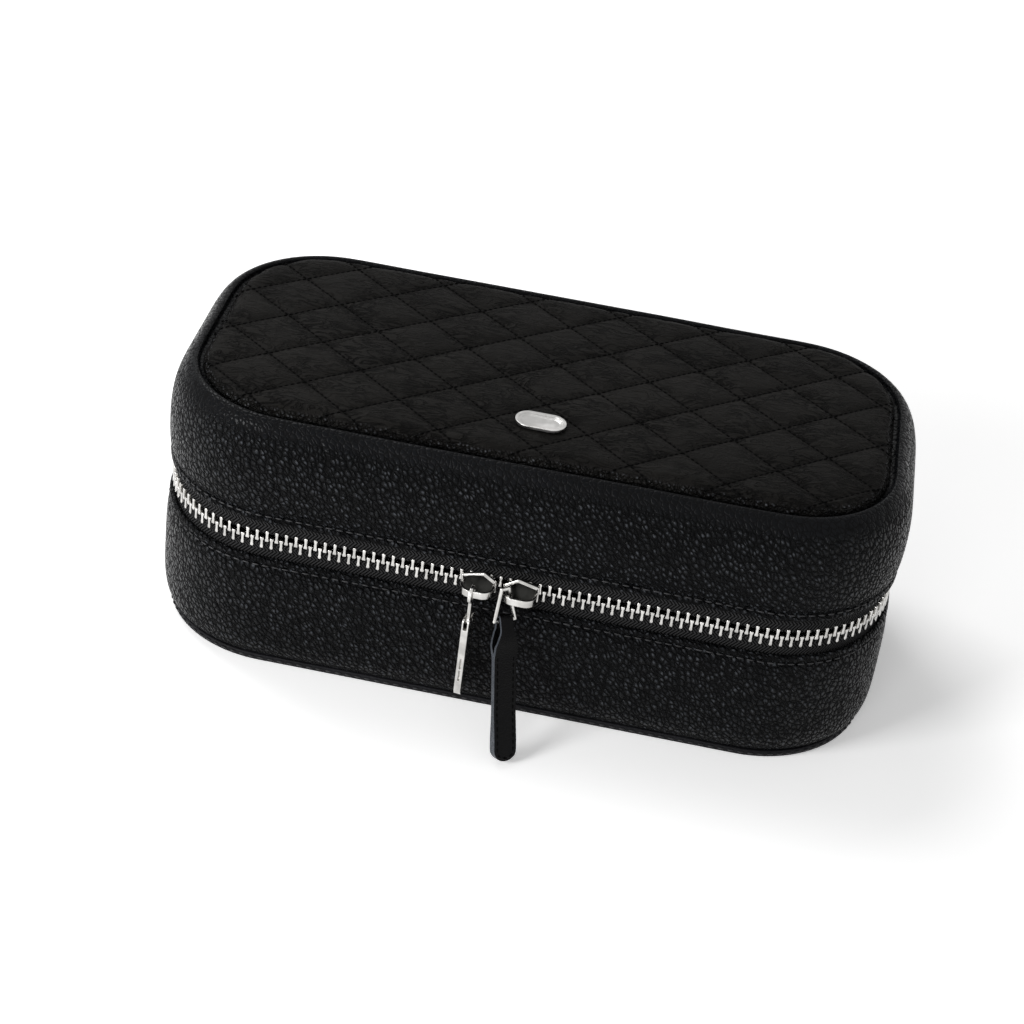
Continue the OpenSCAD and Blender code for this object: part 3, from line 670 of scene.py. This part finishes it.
def panel_height(x, y):
    """Height of the quilted face at a point of the panel, in mm.

    The pillows are lower on the rolled edge and under the plaque.
    """
    inside = max(0.0, inside_panel(x, y))
    d = min(PANEL_ROLL, inside)
    roll = PANEL_ROLL - math.sqrt(max(0.0, PANEL_ROLL**2 - (PANEL_ROLL - d) ** 2))
    crown = CROWN * min(1.0, inside / CROWN_RUN)
    beside = max(abs(x) - PLAQUE_HALF_W, abs(y - PLAQUE_Y) - PLAQUE_HALF_D)
    off_plaque = min(1.0, max(PILLOW_LEAST, beside / PLAQUE_FADE))
    off_roll = PILLOW_LEAST + (1 - PILLOW_LEAST) * min(1.0, d / PANEL_ROLL)
    pillow = PILLOW * off_plaque * quilt_share(x, y) * off_roll
    return PANEL_TOP - roll + crown + pillow - VALLEY_DEPTH


def reaches_panel(x):
    """Whether a seam or a line beside it, through (x, QUILT_CROSSING_Y), can touch the panel."""
    half_w, half_d = HALF_W - PANEL_INSET, HALF_D - PANEL_INSET
    return abs(x) - half_w < (half_d + QUILT_CROSSING_Y) * QUILT_X / QUILT_Y


# Widths of the loops of faces inside the panel's edge, and the cuts between two seams, as shares
ROLL_LOOPS = (0.25, 0.35, 0.45, 0.55, 0.7)
PILLOW_CUTS = (0.0, 0.04, 0.11, 0.24, 0.4, 0.6, 0.76, 0.89, 0.96)


def quilted_cover():
    """The padded panel: cut along its seams, raised into pillows and closed below."""
    bm = bmesh.new()
    start = bm.verts.new(at(0, -(HALF_D - PANEL_INSET), PANEL_TOP))
    carry_round(bm, [start], long_steps=1, short_steps=1, turns=16)
    panel = bmesh.ops.contextual_create(bm, geom=bm.edges[:])["faces"]
    for width in ROLL_LOOPS:
        bmesh.ops.inset_region(bm, faces=panel, thickness=width * mm, use_even_offset=True)
    lines = [(k + cut) * QUILT_X for k in SEAMS for cut in PILLOW_CUTS]
    for sign in (1, -1):
        normal = Vector((1 / QUILT_X, sign / QUILT_Y, 0)).normalized()
        for x in filter(reaches_panel, lines):
            bmesh.ops.bisect_plane(
                bm, geom=bm.verts[:] + bm.edges[:] + bm.faces[:], dist=1e-7,
                plane_co=at(x, QUILT_CROSSING_Y, 0), plane_no=normal,
            )
    for vert in bm.verts:
        vert.co.z = panel_height(vert.co.x / mm, vert.co.y / mm) * mm
    rim = [e for e in bm.edges if e.is_boundary]
    for drop in (1.0, 1.2):
        made = bmesh.ops.extrude_edge_only(bm, edges=rim)["geom"]
        rim = [e for e in made if isinstance(e, bmesh.types.BMEdge)]
        for vert in (v for v in made if isinstance(v, bmesh.types.BMVert)):
            vert.co.z = max(PANEL_FOOT * mm, vert.co.z - drop * mm)
    under = bmesh.ops.contextual_create(bm, geom=rim)["faces"]
    bmesh.ops.triangulate(bm, faces=under)
    replaced = ["quilted_cover", "quilt_foam"]
    piece = finish("quilted_lid_cover", bm, "lid", QUILTED, replaced, 1)


def seam_points():
    """Points every QUILT_STITCH_PITCH along the seams, each with the seam's direction."""
    for sign in (1, -1):
        run = Vector((QUILT_X, -sign * QUILT_Y, 0)) / QUILT_SLOPE
        for k in SEAMS:
            start = Vector((k * QUILT_X, QUILT_CROSSING_Y, 0))
            for i in SEAM_STITCHES:
                yield start + run * (i + 0.5) * QUILT_STITCH_PITCH, run


def quilting_stitches(reach=0.3, clear=0.9, lift=0.12, margin=0.15):
    """Thread along every seam of the quilting, over the rolled edge as well.

    Each stitch leans as the panel does within its reach. None lies under the plaque or closer to it
    than clear, or closer to the panel's edge than margin.
    """
    for point, run in seam_points():
        beside_x = abs(point.x) < PLAQUE_HALF_W + clear
        beside_y = abs(point.y - PLAQUE_Y) < PLAQUE_HALF_D + clear
        if inside_panel(point.x, point.y) > margin and not (beside_x and beside_y):
            ahead, behind = point + run * reach, point - run * reach
            rise = panel_height(ahead.x, ahead.y) - panel_height(behind.x, behind.y)
            x_axis = Vector((run.x * 2 * reach, run.y * 2 * reach, rise)).normalized()
            y_axis = Vector((-run.y, run.x, 0))
            turn = Matrix((x_axis, y_axis, x_axis.cross(y_axis))).transposed().to_4x4()
            place = at(point.x, point.y, panel_height(point.x, point.y) + lift)
            yield Matrix.Translation(place) @ turn


quilted_cover()
stitches("quilting_stitches", quilting_stitches(), "lid", MATT_THREAD, 1.2, 0.55)
dress("badge", "lid_plaque", SATIN_METAL, edge=0.22, segments=3, tray=(0.9, 0.25))


# ---------------------------------------------------------------- zip


def unroll(bm, inset):
    """UV map in metres: U along the outline, V up. Faces across its start run on past its end."""
    uv = bm.loops.layers.uv.new("UVMap")
    whole = outline_length(inset)
    for face in bm.faces:
        spots = [loop.vert.co for loop in face.loops]
        runs = [along_outline(spot.x / mm, spot.y / mm, inset) for spot in spots]
        far = max(runs)
        for loop, run in zip(face.loops, runs):
            if far - run > whole / 2:
                run += whole
            loop[uv].uv = (run * mm, loop.vert.co.z)


# Section of the lower tape, with the cord that carries the teeth at its top
TAPE_SECTION = [
    (2.5, 33.2), (2.45, 37.3), (2.5, 39.2), (2.3, 39.7), (2.15, 40.4), (2.4, 41.0), (2.8, 41.15),
    (3.2, 41.0), (3.45, 40.4), (3.3, 39.7), (3.1, 39.2), (3.1, 37.3), (3.1, 33.2),
]
CHAIN_INSET = 2.8
CHAIN_HALF = RUN_X + (math.pi / 2 + math.radians(ZIP_END_TURN)) * (CORNER - CHAIN_INSET) + 2 * RUN_Y


def zip_tape(name, body, flip, node_name):
    """The strip of woven tape under the teeth. flip mirrors it about the middle of the zip."""
    bm = bmesh.new()
    carry_round(bm, section_ring(bm, TAPE_SECTION), turns=12)
    unroll(bm, CHAIN_INSET)
    if flip:
        bmesh.ops.scale(bm, verts=bm.verts, vec=(1, 1, -1))
        bmesh.ops.translate(bm, verts=bm.verts, vec=(0, 0, 2 * ZIP_Z * mm))
    finish(name, bm, body, TAPE, [node_name], 1)


zip_tape("lower_woven_tape", "base", False, "zip_tape_lower")
zip_tape("upper_woven_tape", "lid", True, "zip_tape_upper")

# Right half of a tooth, from the top of its head to its foot
TOOTH_HALF_D, TOOTH_BEVEL, STOP_STRETCH, STOP_DROP = 1.2, 0.16, 1.7, 0.75
TOOTH_SIDE = [
    (0.0, 0.6), (0.42, 0.6), (0.54, 0.46), (0.54, 0.0), (0.46, -0.25), (0.38, -0.45), (0.37, -1.7),
    (0.46, -2.1), (0.48, -2.55), (0.32, -2.85), (0.0, -2.88),
]


def tooth_mesh(stretch=1.0):
    """One metal tooth, its foot below and its head at the middle of the zip. stretch widens it."""
    bm = bmesh.new()
    bm.faces.new([bm.verts.new(at(x * stretch, -TOOTH_HALF_D, z)) for x, z in TOOTH_SIDE])
    bmesh.ops.mirror(bm, geom=bm.verts[:] + bm.edges[:] + bm.faces[:], axis="X", merge_dist=1e-7)
    face = bmesh.ops.dissolve_faces(bm, faces=bm.faces[:])["region"][0]
    solid = bmesh.ops.extrude_face_region(bm, geom=[face])["geom"]
    front = [v for v in solid if isinstance(v, bmesh.types.BMVert)]
    bmesh.ops.translate(bm, verts=front, vec=at(0, 2 * TOOTH_HALF_D, 0))
    rims = [e for e in bm.edges if abs(e.verts[0].co.y - e.verts[1].co.y) < 1e-7]
    bevel(bm, rims, TOOTH_BEVEL, 2)
    bmesh.ops.recalc_face_normals(bm, faces=bm.faces)
    mesh = bpy.data.meshes.new("one_tooth")
    bm.to_mesh(mesh)
    bm.free()
    return mesh


def chain_place(s, upside_down):
    """A tooth's place on the chain, s along it from the middle of the front."""
    place = outline_place(s, CHAIN_INSET, ZIP_Z)
    return place @ Matrix.Rotation(math.pi, 4, "X") if upside_down else place


def tooth_rows():
    """Both rows of teeth, half a pitch apart, with a wider stop at each end."""
    tooth, stop = tooth_mesh(), tooth_mesh(STOP_STRETCH)
    for name, body, shift, flip, node_name, stop_name, stop_node in (
        ("lower_teeth", "base", 0.5, False, "zip_teeth_lower", "lower_stops", "zip_stops_lower"),
        ("upper_teeth", "lid", 0.0, True, "zip_teeth_upper", "upper_stops", "zip_stops_upper"),
    ):
        last = math.floor(CHAIN_HALF / TOOTH_PITCH - shift)
        places = {side * (i + shift) * TOOTH_PITCH for side in (-1, 1) for i in range(last + 1)}
        bm = bmesh.new()
        repeat(bm, tooth, [chain_place(s, flip) for s in sorted(places)])
        finish(name, bm, body, METAL, [node_name], recalculate=False)
        bm = bmesh.new()
        drop = Matrix.Translation(at(0, 0, -STOP_DROP))
        end = CHAIN_HALF + TOOTH_PITCH
        repeat(bm, stop, [chain_place(s, flip) @ drop for s in (-end, end)])
        finish(stop_name, bm, body, METAL, [stop_node], recalculate=False)


tooth_rows()

# Section of the hinge behind, as (inset, height)
HINGE_SECTION = [
    (2.55, 33.4), (2.45, 37.0), (2.3, 40.0), (2.5, 41.9), (2.75, 42.5), (2.5, 43.1), (2.3, 45.0),
    (2.45, 48.0), (2.55, 51.6), (3.5, 51.6), (3.55, 48.0), (3.45, 45.0), (3.6, 42.5), (3.45, 40.0),
    (3.55, 37.0), (3.5, 33.4),
]


def leather_hinge():
    """The spine: one strip of leather from stop to stop, sewn in behind both rims."""
    bm = bmesh.new()
    row = section_ring(bm, HINGE_SECTION, side=1)
    end = math.radians(90 - ZIP_END_TURN)
    half = bmesh.ops.spin(bm, geom=row, dvec=at(RUN_X / 8, 0, 0), angle=0.0, steps=8)["geom_last"]
    last = bmesh.ops.spin(
        bm, geom=half, cent=at(RUN_X, RUN_Y, 0), axis=(0, 0, 1), angle=-end, steps=5
    )["geom_last"]
    bmesh.ops.contextual_create(bm, geom=[e for e in last if isinstance(e, bmesh.types.BMEdge)])
    bmesh.ops.mirror(bm, geom=bm.verts[:] + bm.edges[:] + bm.faces[:], axis="X", merge_dist=1e-6)
    replaced = ["spine_lower", "spine_upper"]
    piece = finish("leather_hinge", bm, None, TURNED, replaced, 2)
    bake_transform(piece)


leather_hinge()


# ---------------------------------------------------------------- sliders and pulls

# Where the tab hangs on its ring, and how it turns, leans and skews at rest
TAB_PIVOT, TAB_YAW, TAB_LEAN, TAB_SKEW = (0.3934, -57.1301, 36.0442), 35.0, 25.38, 6.0
TAB_SIDEWAYS = (0.819, 0.574, 0)

for side in ("left", "right"):
    # The front and back faces of each slider plate, inside a narrow border, take the near-black metal as
    # painted shade.
    dress(
        f"slider_{side}_plate", f"{side}_slider_face", [METAL, PAINTED_SHADE_METAL],
        edge=0.4, segments=3, sides=(0, 1, 0), border=0.55,
    )
    dress(f"slider_{side}_back_plate", f"{side}_slider_back", METAL, edge=0.2)
    dress(f"bail_{side}", f"{side}_slider_bail", METAL, edge=0.18)
dress("link_left", "metal_pull_link", METAL, edge=0.15)
dress("pull_bar", "metal_pull_bar", METAL, edge=0.22, segments=3)
dress("pull_pin", "metal_pull_pin", METAL, edge=0.1)
dress("ring_right", "wire_ring", METAL, edge=0.02, segments=1)
# The tab's sides take the edge paint, whose pale grey-blue is partly painted highlight.
dress(
    "pull_tab", "leather_pull_tab", [PATENT, EDGE_PAINT_AND_SHEEN],
    edge=0.2, segments=2, sides=TAB_SIDEWAYS,
)


def tab_stitches(half=2.35, top=-10.5, low=-35.7, pitch=1.9):
    """A row of stitches down one edge of the tab, round its foot and up the other edge.

    The tab swells towards its foot, and the row follows its face.
    """
    face, swell, swell_top, swell_length = -0.98, 0.55, -25.7, 7.3
    place = Matrix.Translation(at(*TAB_PIVOT)) @ rotation(TAB_YAW, "Z")
    place = place @ rotation(-TAB_LEAN, "X") @ rotation(TAB_SKEW, "Y")
    straight, arc = top - low, math.pi * half
    count = round((2 * straight + arc) / pitch)
    for i in range(count + 1):
        s = i * (2 * straight + arc) / count
        if s < straight:
            x, z, turn = -half, top - s, 90.0
        elif s < straight + arc:
            turn = 90.0 - math.degrees((s - straight) / half)
            x, z = -half * math.sin(math.radians(turn)), low - half * math.cos(math.radians(turn))
        else:
            x, z, turn = half, low + s - straight - arc, -90.0
        share = max(0.0, min(1.0, (swell_top - z) / swell_length))
        yield place @ Matrix.Translation(at(x, face - swell * share, z)) @ rotation(turn, "Y")


stitches("tab_stitches", tab_stitches(), "tab_right", MATT_THREAD, 1.4, 0.34)


# ---------------------------------------------------------------- inside

dress("base_lining", "tray_lining", SUEDE, edge=0.3)
dress("lid_lining", "lid_inner_lining", SUEDE, edge=0.3)
for which in ("left", "right", "short"):
    divider = dress(
        f"divider_{which}", f"padded_divider_{which}", SUEDE, edge=1.2, segments=4,
    )
rolls = dress("ring_rolls", "ring_cushion_rolls", SUEDE, edge=1.6, segments=4)
border = dress(
    "mirror_border", "mirror_leather_border", TURNED, edge=0.9, segments=4,
)
dress("mirror_glass", "mirror_pane", MIRROR, edge=0.25)
for board in ("base_wall_board", "base_bottom_board", "lid_wall_board", "lid_top_board"):
    materials = frame["nodes"][board].data.materials
    materials.clear()
    materials.append(BOARD)


# ---------------------------------------------------------------- floor, light, camera

CENTRE = at(0, 0, 40)
SENSOR_MM, PICTURE_PX = 36.0, 1024


def background_rays(tree):
    """1 on the rays that show the white background: straight, mirrored and through glass."""
    ray = node(tree, "LightPath")
    seen = calc(tree, "MAXIMUM", ray.outputs["Is Camera Ray"], ray.outputs["Is Transmission Ray"])
    return calc(tree, "MAXIMUM", seen, ray.outputs["Is Glossy Ray"])


def studio(floor_half=3.0, floor_drop=0.1, room=0.25, backdrop=1.0):
    """White paper below and white all round. It lights the case less than it shows behind it."""
    bm = bmesh.new()
    bmesh.ops.create_grid(bm, x_segments=1, y_segments=1, size=floor_half)
    bmesh.ops.translate(bm, verts=bm.verts, vec=at(0, 0, -floor_drop))
    floor = finish("studio_floor", bm, None, [])
    made, tree, shader, _ = surface("studio_paper", (0.86, 0.86, 0.86), 0.9)
    seen = background_rays(tree)
    glow = node(tree, "Emission", {"Color": (1, 1, 1, 1), "Strength": 0.3})
    lift = node(tree, "BsdfDiffuse", {"Color": (0.25, 0.25, 0.25, 1)})
    extra = node(tree, "AddShader", {0: lift.outputs[0], 1: glow.outputs[0]})
    lifted = node(tree, "AddShader", {0: shader.outputs[0], 1: extra.outputs[0]})
    pick = node(tree, "MixShader", {0: seen, 1: shader.outputs[0], 2: lifted.outputs[0]})
    feed(tree, tree.nodes["Material Output"].inputs["Surface"], pick.outputs[0])
    floor.data.materials.append(made)

    world = bpy.data.worlds.new("studio")
    bpy.context.scene.world = world
    world.use_nodes = True
    tree = world.node_tree
    strength = node(tree, "MapRange", {0: background_rays(tree), 3: room, 4: backdrop}).outputs[0]
    back = tree.nodes["Background"]
    back.inputs["Color"].default_value = (1, 1, 1, 1)
    feed(tree, back.inputs["Strength"], strength)


def soft_light(name, place, size, power):
    """A wide lamp that faces the middle of the case."""
    lamp = bpy.data.lights.new(name, "AREA")
    lamp.shape = "RECTANGLE"
    lamp.size, lamp.size_y = size
    lamp.energy = power
    light = bpy.data.objects.new(name, lamp)
    light.location = place
    light.rotation_euler = (Vector(place) - CENTRE).to_track_quat("Z", "Y").to_euler()
    bpy.context.scene.collection.objects.link(light)


def camera(azimuth=4.6, elevation=33.88, roll=8.21, distance=0.6915, focal_px=2400.0):
    """In front of the case and above it, a little to its right, with its horizon tilted."""
    a, e, r = (math.radians(v) for v in (azimuth, elevation, roll))
    back = Vector((math.sin(a) * math.cos(e), -math.cos(a) * math.cos(e), math.sin(e)))
    right = Vector((math.cos(a), math.sin(a), 0))
    up = back.cross(right)
    right, up = right * math.cos(r) + up * math.sin(r), up * math.cos(r) - right * math.sin(r)
    data = bpy.data.cameras.new("camera")
    data.sensor_width = SENSOR_MM
    data.lens = focal_px / PICTURE_PX * SENSOR_MM
    data.shift_x, data.shift_y = -0.026, -0.0182
    seen = bpy.data.objects.new("camera", data)
    turned = Matrix((right, up, back)).transposed().to_4x4()
    seen.matrix_world = Matrix.Translation(CENTRE + back * distance) @ turned
    bpy.context.scene.collection.objects.link(seen)
    bpy.context.scene.camera = seen


studio()
soft_light("key", (-0.5, 0.45, 1.0), (0.6, 0.6), 6.5)
soft_light("glint", (-0.5, -0.5, 0.34), (0.26, 0.26), 3.6)
soft_light("front", (-0.2, -1.0, 0.4), (0.3, 0.2), 1.8)
camera()
bpy.context.scene.view_settings.view_transform = "Standard"
